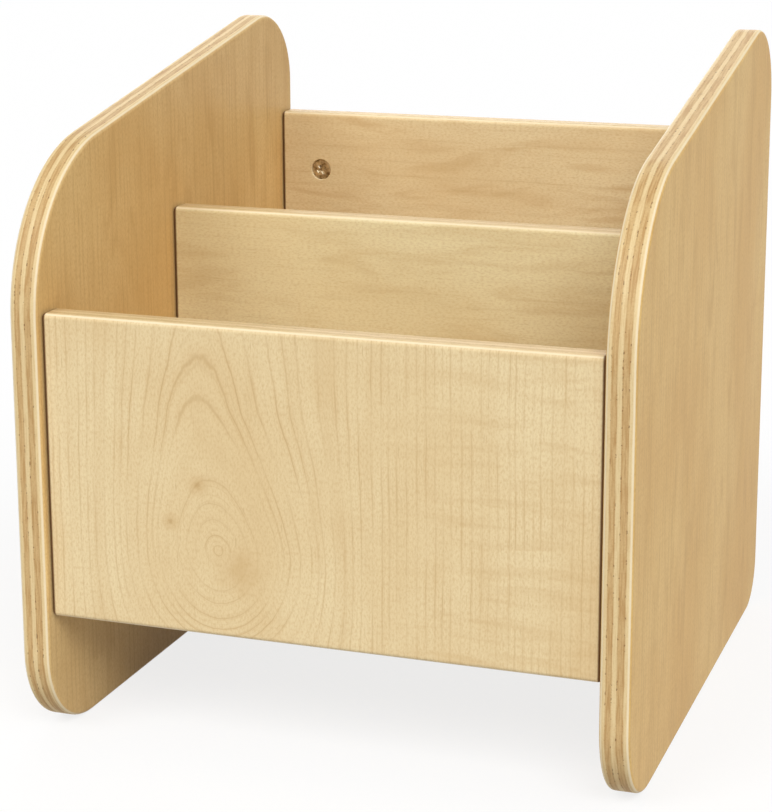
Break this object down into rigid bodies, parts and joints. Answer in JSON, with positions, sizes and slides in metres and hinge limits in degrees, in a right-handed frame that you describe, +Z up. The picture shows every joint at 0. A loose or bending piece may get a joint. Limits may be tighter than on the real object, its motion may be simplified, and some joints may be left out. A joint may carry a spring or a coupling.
{
  "type": "picture book browser bin",
  "caption": "Free-standing plywood book bin: shaped rounded sides hold stepped front, divider and back panels over a raised floor, joined by cam locks.",
  "frame": {"origin": "on the floor, under the middle of the bin's overall box", "axes": "+X to the right seen from the front, +Y towards the back, +Z up"},
  "size_m": [0.381, 0.4, 0.419],
  "materials": {
    "plywood": "clear satin lacquer on maple-faced plywood",
    "cam_zinc": "die-cast zinc, satin",
    "bolt_steel": "bright zinc plated steel",
    "dowel_wood": "raw beech"
  },
  "bodies": {
    "frame": {"back_panel": "plywood", "bottom_panel": "plywood", "front_panel": "plywood", "left_side_panel": "plywood", "middle_divider": "plywood", "right_side_panel": "plywood", "back_cam_bolts": "bolt_steel", "back_dowels": "dowel_wood", "bottom_cam_bolts": "bolt_steel", "bottom_dowels": "dowel_wood", "front_cam_bolts": "bolt_steel", "front_dowels": "dowel_wood", "middle_cam_bolts": "bolt_steel", "middle_dowels": "dowel_wood"},
    "back_cam_left_lower": {"back_cam_left_lower": "cam_zinc"},
    "back_cam_left_upper": {"back_cam_left_upper": "cam_zinc"},
    "back_cam_right_lower": {"back_cam_right_lower": "cam_zinc"},
    "back_cam_right_upper": {"back_cam_right_upper": "cam_zinc"},
    "bottom_cam_left_front": {"bottom_cam_left_front": "cam_zinc"},
    "bottom_cam_left_rear": {"bottom_cam_left_rear": "cam_zinc"},
    "bottom_cam_right_front": {"bottom_cam_right_front": "cam_zinc"},
    "bottom_cam_right_rear": {"bottom_cam_right_rear": "cam_zinc"},
    "front_cam_left_lower": {"front_cam_left_lower": "cam_zinc"},
    "front_cam_left_upper": {"front_cam_left_upper": "cam_zinc"},
    "front_cam_right_lower": {"front_cam_right_lower": "cam_zinc"},
    "front_cam_right_upper": {"front_cam_right_upper": "cam_zinc"},
    "middle_cam_left_lower": {"middle_cam_left_lower": "cam_zinc"},
    "middle_cam_left_upper": {"middle_cam_left_upper": "cam_zinc"},
    "middle_cam_right_lower": {"middle_cam_right_lower": "cam_zinc"},
    "middle_cam_right_upper": {"middle_cam_right_upper": "cam_zinc"}
  },
  "joints": [
    {"name": "back_cam_left_lower_turn", "type": "hinge", "parent": "frame", "child": "back_cam_left_lower", "pos_m": [-0.1415, 0.18, 0.128], "axis": [0, -1, 0], "range_deg": [0, 180]},
    {"name": "back_cam_left_upper_turn", "type": "hinge", "parent": "frame", "child": "back_cam_left_upper", "pos_m": [-0.1415, 0.18, 0.3035], "axis": [0, -1, 0], "range_deg": [0, 180]},
    {"name": "back_cam_right_lower_turn", "type": "hinge", "parent": "frame", "child": "back_cam_right_lower", "pos_m": [0.1415, 0.18, 0.128], "axis": [0, -1, 0], "range_deg": [0, 180]},
    {"name": "back_cam_right_upper_turn", "type": "hinge", "parent": "frame", "child": "back_cam_right_upper", "pos_m": [0.1415, 0.18, 0.3035], "axis": [0, -1, 0], "range_deg": [0, 180]},
    {"name": "bottom_cam_left_front_turn", "type": "hinge", "parent": "frame", "child": "bottom_cam_left_front", "pos_m": [-0.1415, -0.128, 0.084], "axis": [0, 0, -1], "range_deg": [0, 180]},
    {"name": "bottom_cam_left_rear_turn", "type": "hinge", "parent": "frame", "child": "bottom_cam_left_rear", "pos_m": [-0.1415, 0.132, 0.084], "axis": [0, 0, -1], "range_deg": [0, 180]},
    {"name": "bottom_cam_right_front_turn", "type": "hinge", "parent": "frame", "child": "bottom_cam_right_front", "pos_m": [0.1415, -0.128, 0.084], "axis": [0, 0, -1], "range_deg": [0, 180]},
    {"name": "bottom_cam_right_rear_turn", "type": "hinge", "parent": "frame", "child": "bottom_cam_right_rear", "pos_m": [0.1415, 0.132, 0.084], "axis": [0, 0, -1], "range_deg": [0, 180]},
    {"name": "front_cam_left_lower_turn", "type": "hinge", "parent": "frame", "child": "front_cam_left_lower", "pos_m": [-0.1415, -0.176, 0.128], "axis": [0, 1, 0], "range_deg": [0, 180]},
    {"name": "front_cam_left_upper_turn", "type": "hinge", "parent": "frame", "child": "front_cam_left_upper", "pos_m": [-0.1415, -0.176, 0.2265], "axis": [0, 1, 0], "range_deg": [0, 180]},
    {"name": "front_cam_right_lower_turn", "type": "hinge", "parent": "frame", "child": "front_cam_right_lower", "pos_m": [0.1415, -0.176, 0.128], "axis": [0, 1, 0], "range_deg": [0, 180]},
    {"name": "front_cam_right_upper_turn", "type": "hinge", "parent": "frame", "child": "front_cam_right_upper", "pos_m": [0.1415, -0.176, 0.2265], "axis": [0, 1, 0], "range_deg": [0, 180]},
    {"name": "middle_cam_left_lower_turn", "type": "hinge", "parent": "frame", "child": "middle_cam_left_lower", "pos_m": [-0.1415, 0.007, 0.128], "axis": [0, 1, 0], "range_deg": [0, 180]},
    {"name": "middle_cam_left_upper_turn", "type": "hinge", "parent": "frame", "child": "middle_cam_left_upper", "pos_m": [-0.1415, 0.007, 0.2615], "axis": [0, 1, 0], "range_deg": [0, 180]},
    {"name": "middle_cam_right_lower_turn", "type": "hinge", "parent": "frame", "child": "middle_cam_right_lower", "pos_m": [0.1415, 0.007, 0.128], "axis": [0, 1, 0], "range_deg": [0, 180]},
    {"name": "middle_cam_right_upper_turn", "type": "hinge", "parent": "frame", "child": "middle_cam_right_upper", "pos_m": [0.1415, 0.007, 0.2615], "axis": [0, 1, 0], "range_deg": [0, 180]}
  ]
}
